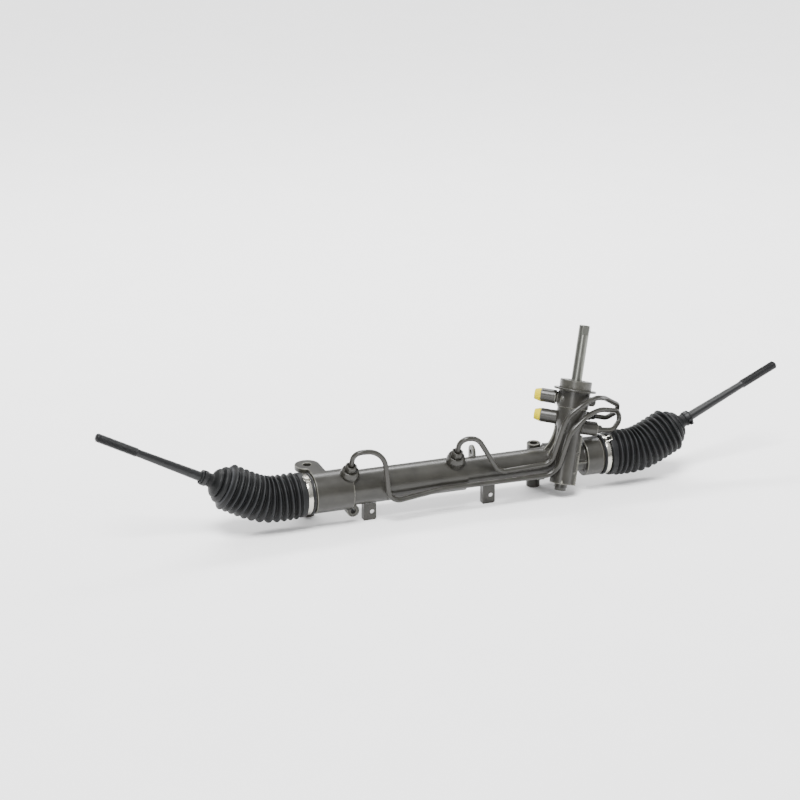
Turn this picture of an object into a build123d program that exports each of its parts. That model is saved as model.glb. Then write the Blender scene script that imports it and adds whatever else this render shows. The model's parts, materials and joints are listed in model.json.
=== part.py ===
# Power steering rack of a passenger car, with its inner tie rods, bellows and transfer pipes.
# Millimetres. X runs along the rack, Y points away from the pinion, Z is up, and the origin
# is on the ground under the middle of the rack, between the two inner ball joints.
from build123d import *
from math import atan, ceil, cos, pi, radians, sin, sqrt, tan
import os

os.makedirs("parts", exist_ok=True)

# ---- driving dimensions ------------------------------------------------------------------
# where the rack lies
rack_y = -9.0
axis_z = 52.5
ball_span = 624.0
travel = 60.0
fit = 0.05
free = 0.4

# rack bar, its teeth and the pinion
bar_r = 13.0
module = 2.1
pinion_teeth = 7
pressure_angle = 25.0
backlash = 0.3
pitch_height = 9.1
rack_addendum = 0.6 * module
rack_dedendum = 1.25 * module
pinion_addendum = module
pinion_dedendum = 0.85 * module
mesh_reach = 12.0
stop_gap = 0.5
pinion_x = 180.0
pinion_lean = 13.4
housing_roll = 12.9
gear_half_width = 15.0

# cylinder tube, piston and their seals
tube_r = 27.0
bore_r = 22.0
tube_left = -188.0
tube_right = 14.3
piston_x = -89.0
piston_width = 14.0
piston_ring_width = 3.0
rod_seal_r = 18.0
rod_seal_width = 7.0
bush_wall = 3.0
bush_length = 15.0

# left end housing and pinion housing
band_x_left = -243.0
band_x_right = 253.0
left_body_r = 32.0
left_seam_x = -173.0
right_tube_r = 23.5
bell_r = 30.5
bell_rim_x = 215.6
neck_r = 22.5
spigot_r = 28.0
spigot_back = 10.0
spigot_front = 9.0
mouth_r = 23.0

# pinion tower, heights measured along the pinion from the rack's centre line
tower_r = 18.5
tower_foot = -36.0
flare_start = 44.0
flare_end = 64.0
flare_r = 23.5
joint_height = 84.5
valve_r = 25.0
flange_height = 112.0
flange_thick = 3.0
flange_r = 33.7
cap_height = 13.5
cap_r = 25.3
cap_seat_r = 14.0
shaft_top = 216.0
shaft_r = 8.5
shaft_neck_r = 9.0
shaft_flat_length = 15.0
shaft_flat_depth = 1.6
shaft_opening_r = 9.4
spool_r = 10.5
valve_bore_r = 17.5
foot_cap_r = 10.5
foot_cap_thick = 6.0
foot_bore_r = 9.0
foot_spigot = 4.5
foot_cap_wall = 1.6
rib_thick = 5.0
plate_front = 9.0
plate_thick = 5.0
plate_top = 44.0

# bearings, seals, sleeve and torsion bar of the pinion
bearing_r = 14.0
journal_r = 6.0
lower_bearing_foot = -31.0
bearing_width = 9.0
race_wall = 2.2
roller_count = 10
pinion_neck_r = 9.6
upper_bearing_foot = 20.0
seal_width = 5.0
pinion_nut_r = 7.2
pinion_thread_r = 4.5
sleeve_foot = 48.0
sleeve_top = 104.0
sleeve_r = 17.0
sleeve_ring_width = 2.5
neck_top = 56.0
torsion_bar_r = 2.8
torsion_head_r = 4.5
torsion_head_length = 18.0
torsion_pin_r = 1.5
needle_r = 1.4
needle_count = 12
pinion_stub_foot = -36.5
pinion_nut_length = 4.0
sleeve_ring_heights = (50.0, 60.5, 69.5, 87.0, 100.0)

# rack yoke behind the rack
yoke_r = 14.0
yoke_front = 6.0
yoke_back = 27.0
yoke_boss_r = 20.5
yoke_boss_length = 52.0
yoke_plug_front = 33.0
yoke_plug_back = 59.0
yoke_lock_nut_r = 21.0
yoke_lock_nut_length = 5.0
disc_spring_thick = 1.2

# fluid ports and pipes
tube_port_x_left = -176.0
tube_port_x_right = -2.5
tube_port_turn = 25.0
tube_port_r = 14.0
tube_port_height = 42.0
valve_port_turn = 30.0
valve_port_r = 11.0
low_port_height = 66.4
low_port_length = 48.0
high_port_height = 97.7
high_port_length = 52.0
port_hole_r = 6.0
plug_length = 10.0
plug_r = 10.3
plug_tip_r = 8.0
plug_insert = 6.0
side_port_r = 11.3
side_port_height = 56.0
side_port_length = 45.0
return_port_height = 74.0
return_port_turn = 25.0
return_port_length = 34.0
blind_port_height = 97.0
blind_port_turn = 15.0
blind_port_length = 40.0
small_port_r = 7.5
port_groove_start = 25.5
port_groove_width = 2.0
port_groove_r = 8.0
knob_r = 4.5
knob_height = 98.0
knob_turn = 20.0
knob_length = 27.5
pipe_r = 4.0
pipe_insert = 7.0
passage_r = 2.5
nut_r = 9.2
nut_length = 11.0
port_nut_r = 7.6
port_nut_length = 8.0
pipe_rise = 78.0

# mounting sleeves, lugs and brackets
mount_hole_r = 6.5
left_mount_x = -227.5
left_mount_y = 40.0
left_mount_top = 84.5
left_mount_r = 10.5
mount_pad_r = 19.5
mount_pad_thick = 8.0
right_mount_x = 148.0
right_mount_y = 34.0
right_mount_top = 73.0
right_mount_r = 11.0
web_thick = 12.0
web_foot = 22.0
lug_x = 33.0
lug_thick = 5.0
lug_r = 11.0
lug_y = 14.0
lug_z = 80.0
lug_hole_r = 4.0
low_lug_x = -170.5
low_lug_z = 19.5
low_lug_r = 10.0
low_lug_hole_r = 4.5
low_lug_front = -14.0
low_lug_length = 20.0
bracket_x_left = -142.5
bracket_x_right = 54.5
bracket_width = 20.0
bracket_depth = 13.0
bracket_front = -12.0
bracket_sheet = 2.0
bracket_corner = 4.0
bracket_hole_r = 3.5
bracket_hole_z = 13.6
bracket_hole_shift = 3.2

# inner ball joints and tie rods
ball_r = 13.5
seat_r = 15.5
seat_mouth = 52.0
socket_r = 20.0
socket_back = 24.0
socket_lip = 7.0
stud_r = 7.0
stud_length = 16.0
washer_r = 16.0
washer_thick = 2.0
rod_length = 281.0
rod_neck_r = 6.5
rod_clip_r = 7.5
rod_waist_r = 5.9
thread_r = 7.0
thread_length = 67.0
rod_tip = 2.0
rod_lift_left = 27.1
rod_swing_left = 5.0
rod_lift_right = 20.9
rod_swing_right = 8.2

# bellows, band clamps and rod clips
crest_r = 36.5
valley_r = 30.5
convolutions = 12
lip_r = 32.3
lip_length = 3.0
groove_r = 30.2
collar_r = 34.5
bellows_r = 27.4
bend_reach = 88.0
clip_reach = 100.0
neck_wall = 2.4
neck_length = 12.0
band_width = 8.0
band_thick = 1.0
clip_width = 6.0
clip_thick = 1.6
bellows_start = 15.0
bellows_sag = 6.0
folds_end = 0.84
buckle_angle = 115.0
buckle_length = 12.0
buckle_thick = 2.0
clip_angle = 80.0
clip_ears_apart = 25.0
ear_length = 6.0

# ---- planes and small tools ----------------------------------------------------------------
rack_origin = Vector(0, rack_y, axis_z)
# x along the rack to the right, y up
rack_plane = Plane(origin=rack_origin, x_dir=(1, 0, 0), z_dir=(0, -1, 0))

lean = radians(pinion_lean)
roll = radians(housing_roll)
pinion_dir = Vector(sin(lean), cos(lean) * sin(roll), cos(lean) * cos(roll))
front_dir = Vector(0, -cos(roll), sin(roll))
side_dir = pinion_dir.cross(front_dir)
pitch_r = module * pinion_teeth / 2
tooth_pitch = pi * module
mesh_origin = rack_origin + Vector(pinion_x, 0, 0)
pinion_origin = mesh_origin + front_dir * (pitch_height + pitch_r)
# the plane of the teeth: x to the front, y to the side, z along the pinion
gear_plane = Plane(origin=pinion_origin, x_dir=front_dir, z_dir=pinion_dir)
# x along the pinion
tower_plane = Plane(origin=pinion_origin, x_dir=pinion_dir, z_dir=side_dir)
# x from the rack's axis to the back
yoke_plane = Plane(origin=mesh_origin, x_dir=front_dir * -1, z_dir=pinion_dir)


def tower_port(height, turn, side):
    """Plane whose x runs out of the pinion tower to one side, turned to the back by an angle."""
    out = side_dir * (side * cos(radians(turn))) - front_dir * sin(radians(turn))
    return Plane(origin=pinion_origin + pinion_dir * height, x_dir=out, z_dir=pinion_dir)


def tube_port(x):
    """Plane whose x runs out of the cylinder tube, up and turned to the front."""
    slope = radians(tube_port_turn)
    return Plane(origin=rack_origin + Vector(x, 0, 0), x_dir=(0, -sin(slope), cos(slope)), z_dir=(1, 0, 0))


def across(plane, distance):
    """Plane square to the x axis of another, at a distance along it."""
    return Plane(origin=plane.origin + plane.x_dir * distance, x_dir=plane.y_dir, z_dir=plane.x_dir)


def turn(plane, *outline, mode=Mode.ADD):
    """Turn an outline of (along, radius) points about the x axis of its plane."""
    with BuildSketch(plane) as profile:
        with BuildLine():
            Polyline(*outline, close=True)
        make_face()
    revolve(profile.sketch, axis=Axis(plane.origin, plane.x_dir), mode=mode)


def sleeve(plane, start, end, inner, outer, mode=Mode.ADD):
    """Turn a plain sleeve, or a rod where the inner radius is 0."""
    turn(plane, (start, inner), (end, inner), (end, outer), (start, outer), mode=mode)


def hexagon(plane, start, end, radius):
    """Hexagonal prism along the x axis of a plane, its radius to the corners."""
    with BuildSketch(across(plane, start)) as flats:
        RegularPolygon(radius, 6)
    extrude(flats.sketch, amount=end - start)


def upright(x, y, radius, bottom, top, mode=Mode.ADD):
    """Vertical cylinder, its y measured from the rack's axis."""
    with BuildSketch(Plane.XY.offset(bottom)) as disc:
        with Locations((x, rack_y + y)):
            Circle(radius)
    extrude(disc.sketch, amount=top - bottom, mode=mode)


def keep(piece, name):
    """Label a finished piece and write it as its own STEP file."""
    piece.part.label = name
    export_step(piece.part, "parts/" + name + ".step")


# ---- rack bar with its teeth ----------------------------------------------------------------
bar_end = ball_span / 2 - socket_back - washer_thick
mouth_stop = bar_end - travel - stop_gap
stud_hole_depth = stud_length - washer_thick + 2
gap_half = tooth_pitch / 4 + backlash / 2
rack_gaps = 2 * ceil((travel * cos(lean) + mesh_reach) / tooth_pitch) + 1
flank = tan(radians(pressure_angle))
flat_half = rack_gaps * tooth_pitch / 2
with BuildPart() as rack_bar:
    sleeve(rack_plane, -bar_end, bar_end, 0, bar_r)
    with BuildSketch(gear_plane):
        with Locations((-pitch_r + rack_addendum, 0)):
            Rectangle(bar_r, 2 * flat_half, align=(Align.MIN, Align.CENTER))
        with Locations(*[(-pitch_r, (i - rack_gaps // 2) * tooth_pitch) for i in range(rack_gaps)]):
            Polygon(
                (-rack_dedendum, rack_dedendum * flank - gap_half),
                (rack_addendum, -rack_addendum * flank - gap_half),
                (rack_addendum, rack_addendum * flank + gap_half),
                (-rack_dedendum, gap_half - rack_dedendum * flank),
                align=None,
            )
    extrude(amount=2 * bar_r, both=True, mode=Mode.SUBTRACT)
    for start, end in ((-bar_end, stud_hole_depth - bar_end), (bar_end - stud_hole_depth, bar_end)):
        sleeve(rack_plane, start, end, 0, stud_r + fit, mode=Mode.SUBTRACT)
keep(rack_bar, "rack_bar")

# ---- piston on the rack bar, with its ring ---------------------------------------------------
piston_left = piston_x - piston_width / 2
piston_right = piston_x + piston_width / 2
ring_left = piston_x - piston_ring_width / 2
ring_right = piston_x + piston_ring_width / 2
piston_r = bore_r - 0.6
piston_groove_r = bore_r - 4.0
with BuildPart() as piston:
    sleeve(rack_plane, piston_left, piston_right, bar_r + fit, piston_r)
    sleeve(rack_plane, ring_left, ring_right, piston_groove_r, piston_r + 1, mode=Mode.SUBTRACT)
keep(piston, "piston")

with BuildPart() as piston_ring:
    sleeve(rack_plane, ring_left + fit, ring_right - fit, piston_groove_r + fit, bore_r - fit)
keep(piston_ring, "piston_ring")

# ---- cylinder tube, with the holes under its two ports ----------------------------------------
with BuildPart() as cylinder_tube:
    sleeve(rack_plane, tube_left, tube_right, bore_r, tube_r)
    for x in (tube_port_x_left, tube_port_x_right):
        sleeve(tube_port(x), 0, tube_port_height, 0, passage_r, mode=Mode.SUBTRACT)
keep(cylinder_tube, "cylinder_tube")

# ---- left end housing: socket of the tube, bush, seal, bellows spigot and mounting sleeve -------
left_end = band_x_left - spigot_front
left_shoulder = band_x_left + spigot_back
bush_right = bush_length - mouth_stop
seal_left = tube_left - rod_seal_width
low_lug_origin = (low_lug_x, rack_y + low_lug_front, low_lug_z)
low_lug_plane = Plane(origin=low_lug_origin, x_dir=(1, 0, 0), z_dir=(0, 1, 0))
with BuildPart() as left_end_housing:
    turn(
        rack_plane, (left_end, 0), (left_end, spigot_r), (left_shoulder, spigot_r),
        (left_shoulder, left_body_r), (left_seam_x, left_body_r), (left_seam_x, 0),
    )
    # mounting sleeve behind the housing, which stands on the subframe, its pad and its web
    upright(left_mount_x, left_mount_y, left_mount_r, 0, left_mount_top)
    upright(left_mount_x, left_mount_y, mount_pad_r, left_mount_top - mount_pad_thick, left_mount_top)
    with BuildSketch(Plane.XY.offset(left_mount_top - mount_pad_thick)):
        with Locations((left_shoulder + 1, rack_y)):
            Rectangle(2 * web_thick, left_mount_y, align=(Align.MIN, Align.MIN))
    extrude(amount=mount_pad_thick)
    with BuildSketch(Plane.XY.offset(web_foot)):
        with Locations((left_shoulder + 1, rack_y)):
            Rectangle(web_thick, left_mount_y, align=(Align.MIN, Align.MIN))
    extrude(amount=left_mount_top - mount_pad_thick - web_foot)
    # small lug under the seam, bored from front to back
    with BuildSketch(low_lug_plane):
        Circle(low_lug_r)
        with Locations((-low_lug_r / 3, -low_lug_r)):
            Rectangle(4 * low_lug_r / 3, 2 * low_lug_r)
    extrude(amount=low_lug_length)
    with BuildSketch(low_lug_plane):
        Circle(low_lug_hole_r)
    extrude(amount=low_lug_length, mode=Mode.SUBTRACT)
    # bores along the rack: mouth, bush, bar, seal and socket
    turn(
        rack_plane, (left_end - 1, 0), (left_end - 1, mouth_r), (-mouth_stop, mouth_r),
        (-mouth_stop, bar_r + bush_wall + fit), (bush_right, bar_r + bush_wall + fit),
        (bush_right, bar_r + free),
        (seal_left, bar_r + free), (seal_left, rod_seal_r + fit), (tube_left, rod_seal_r + fit),
        (tube_left, tube_r + fit), (left_seam_x + tube_r, tube_r + fit), (left_seam_x + tube_r, 0),
        mode=Mode.SUBTRACT,
    )
    upright(left_mount_x, left_mount_y, mount_hole_r, 0, left_mount_top, mode=Mode.SUBTRACT)
    sleeve(tube_port(tube_port_x_left), 0, tube_port_height, 0, passage_r, mode=Mode.SUBTRACT)
keep(left_end_housing, "left_end_housing")

with BuildPart() as rack_bush:
    sleeve(rack_plane, free - mouth_stop, bush_right - fit, bar_r + fit, bar_r + bush_wall)
keep(rack_bush, "rack_bush")

with BuildPart() as left_rack_seal:
    sleeve(rack_plane, seal_left + fit, tube_left - fit, bar_r + fit, rod_seal_r)
keep(left_rack_seal, "left_rack_seal")

# ---- pinion housing: one casting from the cylinder tube to the right bellows --------------------
right_end = band_x_right + spigot_front
right_shoulder = band_x_right - spigot_back
nose_left = tube_right - 9.0
nose_seal_right = nose_left + rod_seal_width
low_port = tower_port(low_port_height, valve_port_turn, -1)
high_port = tower_port(high_port_height, valve_port_turn, -1)
side_port = tower_port(side_port_height, 0, 1)
return_port = tower_port(return_port_height, return_port_turn, 1)
blind_port = tower_port(blind_port_height, blind_port_turn, 1)
knob_port = tower_port(knob_height, -knob_turn, -1)
seal_foot = upper_bearing_foot + bearing_width
with BuildPart() as pinion_housing:
    turn(
        rack_plane, (nose_left, 0), (nose_left, bore_r - fit), (tube_right, bore_r - fit),
        (tube_right, right_tube_r), (pinion_x, right_tube_r), (pinion_x + tower_r, neck_r),
        (bell_rim_x, neck_r), (bell_rim_x, bell_r), (right_shoulder, bell_r), (right_shoulder, spigot_r),
        (right_end, spigot_r), (right_end, 0),
    )
    turn(
        tower_plane, (tower_foot, 0), (tower_foot, tower_r), (flare_start, tower_r), (flare_end, flare_r),
        (joint_height, flare_r), (joint_height, 0),
    )
    sleeve(yoke_plane, 0, yoke_boss_length, 0, yoke_boss_r)
    sleeve(low_port, 0, low_port_length, 0, valve_port_r)
    sleeve(side_port, 0, side_port_length, 0, side_port_r)
    sleeve(return_port, 0, return_port_length, 0, small_port_r)
    # two hollow-edged ribs that run from the lower port down to the tube
    for offset, reach in ((-plate_front, 40.0), (1.0, 30.0)):
        rib_origin = pinion_origin + front_dir * offset
        rib_plane = Plane(origin=rib_origin, x_dir=side_dir * -1, z_dir=front_dir * -1)
        with BuildSketch(rib_plane):
            with BuildLine():
                head = (flare_r - 1, flare_end)
                foot = (reach, right_tube_r - rib_thick - reach * sin(lean))
                Line((0, flare_end), head)
                ThreePointArc(head, (tower_r + (reach - tower_r) / 4, 34.0), foot)
                Polyline(foot, (reach, 0), (0, 0), (0, flare_end))
            make_face()
        extrude(amount=rib_thick / 2, both=True)
    # flat plate with two cross ribs and an edge rib, on the right front of the tower
    with BuildSketch(gear_plane.offset(tower_foot)):
        with Locations((plate_front, 0)):
            Rectangle(plate_thick, tower_r, align=(Align.MIN, Align.MIN))
        with Locations((0, tower_r)):
            Rectangle(plate_front + plate_thick + 1.5, 3.0, align=(Align.MIN, Align.MAX))
    extrude(amount=plate_top - tower_foot)
    for height in (-18.0, 14.0):
        with BuildSketch(gear_plane.offset(height)):
            with Locations((plate_front, 0)):
                Rectangle(plate_thick + 1.5, tower_r, align=(Align.MIN, Align.MIN))
        extrude(amount=2.5)
    # web from the tower to the bell
    with BuildSketch(Plane(origin=(pinion_x, rack_y, axis_z), x_dir=(1, 0, 0), z_dir=(0, 0, 1))):
        Rectangle(bell_rim_x - pinion_x + 1, 2 * (neck_r + 4.0), align=(Align.MIN, Align.CENTER))
    extrude(amount=1.5, both=True)
    # mounting sleeve behind the tube, with its web
    upright(right_mount_x, right_mount_y, right_mount_r, 0, right_mount_top)
    with BuildSketch(Plane.XY.offset(web_foot)):
        with Locations((right_mount_x, rack_y)):
            Rectangle(web_thick, right_mount_y, align=(Align.CENTER, Align.MIN))
    extrude(amount=right_mount_top - web_foot - mount_pad_thick)
    # thin ear on top of the tube
    with BuildSketch(Plane(origin=(lug_x, rack_y, 0), x_dir=(0, 1, 0), z_dir=(1, 0, 0))):
        with Locations((lug_y, lug_z)):
            Circle(lug_r)
        lug_back = lug_y + lug_r
        Polygon((lug_y - lug_r, lug_z), (lug_back, lug_z), (lug_back, axis_z), (0, axis_z), align=None)
    extrude(amount=lug_thick)
    # bores along the rack
    turn(
        rack_plane, (nose_left - 1, 0), (nose_left - 1, rod_seal_r + fit),
        (nose_seal_right, rod_seal_r + fit),
        (nose_seal_right, bar_r + free), (tube_right + bush_length, bar_r + free),
        (tube_right + bush_length, bar_r + 2), (mouth_stop, bar_r + 2), (mouth_stop, mouth_r),
        (right_end + 1, mouth_r), (right_end + 1, 0),
        mode=Mode.SUBTRACT,
    )
    # bores along the pinion
    turn(
        tower_plane, (tower_foot - 1, 0), (tower_foot - 1, foot_bore_r + fit),
        (lower_bearing_foot, foot_bore_r + fit), (lower_bearing_foot, bearing_r + fit),
        (seal_foot + seal_width, bearing_r + fit), (seal_foot + seal_width, pinion_neck_r + 2),
        (sleeve_foot - 1, pinion_neck_r + 2), (sleeve_foot - 1, valve_bore_r),
        (joint_height + 1, valve_bore_r),
        (joint_height + 1, 0),
        mode=Mode.SUBTRACT,
    )
    sleeve(yoke_plane, 0, yoke_boss_length + 1, 0, yoke_r + fit, mode=Mode.SUBTRACT)
    # fluid passages and mounting holes
    sleeve(low_port, valve_bore_r - 1, low_port_length + 1, 0, port_hole_r, mode=Mode.SUBTRACT)
    sleeve(
        side_port, side_port_length - pipe_insert, side_port_length + 1, 0, pipe_r + fit, mode=Mode.SUBTRACT,
    )
    sleeve(side_port, valve_bore_r - 1, side_port_length, 0, passage_r, mode=Mode.SUBTRACT)
    sleeve(
        return_port, return_port_length - pipe_insert, return_port_length + 1, 0, pipe_r + fit,
        mode=Mode.SUBTRACT,
    )
    sleeve(return_port, valve_bore_r - 1, return_port_length, 0, passage_r, mode=Mode.SUBTRACT)
    upright(right_mount_x, right_mount_y, mount_hole_r, 0, right_mount_top, mode=Mode.SUBTRACT)
    with BuildSketch(Plane(origin=(lug_x, rack_y, 0), x_dir=(0, 1, 0), z_dir=(1, 0, 0))):
        with Locations((lug_y, lug_z)):
            Circle(lug_hole_r)
    extrude(amount=lug_thick, mode=Mode.SUBTRACT)
keep(pinion_housing, "pinion_housing")

with BuildPart() as inner_rack_seal:
    sleeve(rack_plane, nose_left + fit, nose_seal_right - fit, bar_r + fit, rod_seal_r)
keep(inner_rack_seal, "inner_rack_seal")

# ---- valve housing, flange and caps on the pinion's axis -----------------------------------------
with BuildPart() as valve_housing:
    sleeve(tower_plane, joint_height, flange_height, 0, valve_r)
    sleeve(high_port, 0, high_port_length, 0, valve_port_r)
    sleeve(blind_port, 0, blind_port_length, 0, small_port_r)
    # round knob of the check valve, and the groove under the head of the high port
    turn(
        knob_port, (0, 0), (0, knob_r), (knob_length - knob_r / 2, knob_r), (knob_length, knob_r / 2),
        (knob_length, 0),
    )
    sleeve(
        high_port, port_groove_start, port_groove_start + port_groove_width, port_groove_r, valve_port_r + 1,
        mode=Mode.SUBTRACT,
    )
    turn(
        tower_plane, (joint_height - 1, 0), (joint_height - 1, valve_bore_r), (sleeve_top + 1, valve_bore_r),
        (sleeve_top + 1, cap_seat_r + fit), (flange_height + 1, cap_seat_r + fit), (flange_height + 1, 0),
        mode=Mode.SUBTRACT,
    )
    sleeve(high_port, valve_bore_r - 1, high_port_length + 1, 0, port_hole_r, mode=Mode.SUBTRACT)
keep(valve_housing, "valve_housing")

cap_foot = flange_height + flange_thick
cap_top = cap_foot + cap_height
with BuildPart() as seal_flange:
    sleeve(tower_plane, flange_height, cap_foot, shaft_opening_r, flange_r)
keep(seal_flange, "seal_flange")

with BuildPart() as top_cap:
    sleeve(tower_plane, cap_foot, cap_top, shaft_opening_r, cap_r)
    sleeve(tower_plane, cap_foot, cap_top - 3, shaft_opening_r - 1, cap_seat_r + fit, mode=Mode.SUBTRACT)
    chamfer(top_cap.faces().sort_by(Axis(tower_plane.origin, pinion_dir))[-1].edges(), length=0.8)
keep(top_cap, "top_cap")

with BuildPart() as shaft_seal:
    sleeve(tower_plane, cap_foot + fit, cap_top - 3 - fit, shaft_neck_r + fit, cap_seat_r)
keep(shaft_seal, "shaft_seal")

with BuildPart() as spool_bearing:
    sleeve(tower_plane, sleeve_top + 1 + fit, flange_height - fit, shaft_neck_r + fit, cap_seat_r)
keep(spool_bearing, "spool_bearing")

with BuildPart() as bottom_cap:
    sleeve(tower_plane, tower_foot - foot_cap_thick, tower_foot, 0, foot_cap_r)
    hexagon(tower_plane, tower_foot - foot_cap_thick - 5, tower_foot - foot_cap_thick, foot_cap_r - 1.5)
    sleeve(tower_plane, tower_foot, tower_foot + foot_spigot, 0, foot_bore_r)
    sleeve(
        tower_plane, tower_foot - 3, tower_foot + foot_spigot, 0, foot_bore_r - foot_cap_wall,
        mode=Mode.SUBTRACT,
    )
keep(bottom_cap, "bottom_cap")

# ---- bearings and seal of the pinion ----------------------------------------------------------------
lower_bearing_top = lower_bearing_foot + bearing_width
upper_bearing_top = upper_bearing_foot + bearing_width
inner_race_r = journal_r + race_wall
outer_race_r = bearing_r - race_wall
roller_r = (outer_race_r - inner_race_r) / 2
needle_shell_r = pinion_neck_r + 2 * needle_r + 2 * fit
with BuildPart() as lower_outer_race:
    sleeve(tower_plane, lower_bearing_foot + fit, lower_bearing_top, outer_race_r, bearing_r)
keep(lower_outer_race, "lower_outer_race")

with BuildPart() as lower_inner_race:
    sleeve(tower_plane, lower_bearing_foot + fit, lower_bearing_top - fit, journal_r + fit, inner_race_r)
keep(lower_inner_race, "lower_inner_race")

with BuildPart() as lower_bearing_rollers:
    with BuildSketch(gear_plane.offset(lower_bearing_foot + 1)):
        with PolarLocations(inner_race_r + roller_r, roller_count):
            Circle(roller_r - fit / 2)
    extrude(amount=bearing_width - 2)
keep(lower_bearing_rollers, "lower_bearing_rollers")

with BuildPart() as upper_bearing_shell:
    sleeve(tower_plane, upper_bearing_foot, upper_bearing_top, needle_shell_r, bearing_r)
keep(upper_bearing_shell, "upper_bearing_shell")

with BuildPart() as upper_bearing_needles:
    with BuildSketch(gear_plane.offset(upper_bearing_foot + 1)):
        with PolarLocations(pinion_neck_r + fit + needle_r, needle_count):
            Circle(needle_r - fit / 2)
    extrude(amount=bearing_width - 2)
keep(upper_bearing_needles, "upper_bearing_needles")

with BuildPart() as pinion_seal:
    sleeve(
        tower_plane, upper_bearing_top + fit, upper_bearing_top + seal_width - fit, pinion_neck_r + fit,
        bearing_r,
    )
keep(pinion_seal, "pinion_seal")

# ---- pinion: seven involute teeth on a shaft that carries the valve sleeve ----------------------------
base_r = pitch_r * cos(radians(pressure_angle))
tip_r = pitch_r + pinion_addendum
root_r = pitch_r - pinion_dedendum


def flank_point(radius):
    """Point of a tooth's upper flank at a radius, for a tooth that points along x."""
    opening = sqrt((radius / base_r) ** 2 - 1)
    at_pitch = tan(radians(pressure_angle)) - radians(pressure_angle)
    angle = pi / (2 * pinion_teeth) + at_pitch - (opening - atan(opening))
    return (radius * cos(angle), radius * sin(angle))


with BuildSketch() as tooth:
    with BuildLine():
        base_x, base_y = flank_point(base_r)
        pitch_x, pitch_y = flank_point(pitch_r)
        tip_x, tip_y = flank_point(tip_r)
        ThreePointArc((base_x, base_y), (pitch_x, pitch_y), (tip_x, tip_y))
        Line((tip_x, tip_y), (tip_x, -tip_y))
        ThreePointArc((tip_x, -tip_y), (pitch_x, -pitch_y), (base_x, -base_y))
        Polyline((base_x, -base_y), (0, -base_y), (0, base_y), (base_x, base_y))
    make_face()

with BuildPart() as pinion_gear:
    turn(
        tower_plane, (pinion_stub_foot, 0), (pinion_stub_foot, pinion_thread_r),
        (lower_bearing_foot, pinion_thread_r),
        (lower_bearing_foot, journal_r), (lower_bearing_top, journal_r), (lower_bearing_top, journal_r + 1),
        (-gear_half_width, journal_r + 1), (-gear_half_width, root_r), (gear_half_width, root_r),
        (gear_half_width, pinion_neck_r - 1), (gear_half_width + 1, pinion_neck_r), (neck_top, pinion_neck_r),
        (neck_top, 0),
    )
    with BuildSketch(gear_plane.offset(-gear_half_width)):
        with PolarLocations(0, pinion_teeth, start_angle=180):
            add(tooth.sketch)
    extrude(amount=2 * gear_half_width)
    sleeve(tower_plane, upper_bearing_foot, neck_top + 1, 0, torsion_head_r + fit, mode=Mode.SUBTRACT)
keep(pinion_gear, "pinion_gear")

with BuildPart() as pinion_nut:
    hexagon(tower_plane, lower_bearing_foot - pinion_nut_length, lower_bearing_foot - fit, pinion_nut_r)
    sleeve(
        tower_plane, lower_bearing_foot - pinion_nut_length, lower_bearing_foot, 0, pinion_thread_r + fit,
        mode=Mode.SUBTRACT,
    )
keep(pinion_nut, "pinion_nut")

sleeve_groove_r = sleeve_r - 1.2
with BuildPart() as valve_sleeve:
    sleeve(tower_plane, sleeve_foot, sleeve_top, spool_r + fit, sleeve_r)
    sleeve(tower_plane, sleeve_foot, neck_top, pinion_neck_r + fit, sleeve_r)
    for height in sleeve_ring_heights:
        sleeve(
            tower_plane, height, height + sleeve_ring_width, sleeve_groove_r, sleeve_r + 1,
            mode=Mode.SUBTRACT,
        )
keep(valve_sleeve, "valve_sleeve")

with BuildPart() as valve_rings:
    for height in sleeve_ring_heights:
        sleeve(
            tower_plane, height + fit, height + sleeve_ring_width - fit, sleeve_groove_r + fit,
            valve_bore_r - fit,
        )
keep(valve_rings, "valve_rings")

# ---- input shaft with its flat, torsion bar and pin ----------------------------------------------------
pin_port = tower_port(shaft_top - torsion_head_length / 2 - 1, 0, 1)
with BuildPart() as input_shaft:
    turn(
        tower_plane, (neck_top + free, 0), (neck_top + free, spool_r), (sleeve_top, spool_r),
        (sleeve_top, shaft_neck_r), (cap_top + 1, shaft_neck_r), (cap_top + 1, shaft_r),
        (shaft_top - 1, shaft_r), (shaft_top, shaft_r - 1), (shaft_top, 0),
    )
    with BuildSketch(gear_plane.offset(shaft_top)):
        with Locations((shaft_r - shaft_flat_depth, 0)):
            Rectangle(shaft_r, 2 * shaft_r, align=(Align.MIN, Align.CENTER))
    extrude(amount=-shaft_flat_length, mode=Mode.SUBTRACT)
    sleeve(tower_plane, neck_top, shaft_top, 0, torsion_head_r + fit, mode=Mode.SUBTRACT)
    sleeve(pin_port, -shaft_r, shaft_r, 0, torsion_pin_r + fit, mode=Mode.SUBTRACT)
keep(input_shaft, "input_shaft")

bar_foot = upper_bearing_foot + 1
with BuildPart() as torsion_bar:
    turn(
        tower_plane, (bar_foot, 0), (bar_foot, torsion_head_r),
        (bar_foot + torsion_head_length, torsion_head_r),
        (bar_foot + torsion_head_length + 4, torsion_bar_r),
        (shaft_top - torsion_head_length - 5, torsion_bar_r),
        (shaft_top - torsion_head_length - 1, torsion_head_r), (shaft_top - 1, torsion_head_r),
        (shaft_top - 1, 0),
    )
    sleeve(pin_port, -shaft_r, shaft_r, 0, torsion_pin_r + fit, mode=Mode.SUBTRACT)
keep(torsion_bar, "torsion_bar")

with BuildPart() as torsion_pin:
    sleeve(pin_port, 0.4 - shaft_r, shaft_r - 0.4, 0, torsion_pin_r)
keep(torsion_pin, "torsion_pin")

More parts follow.
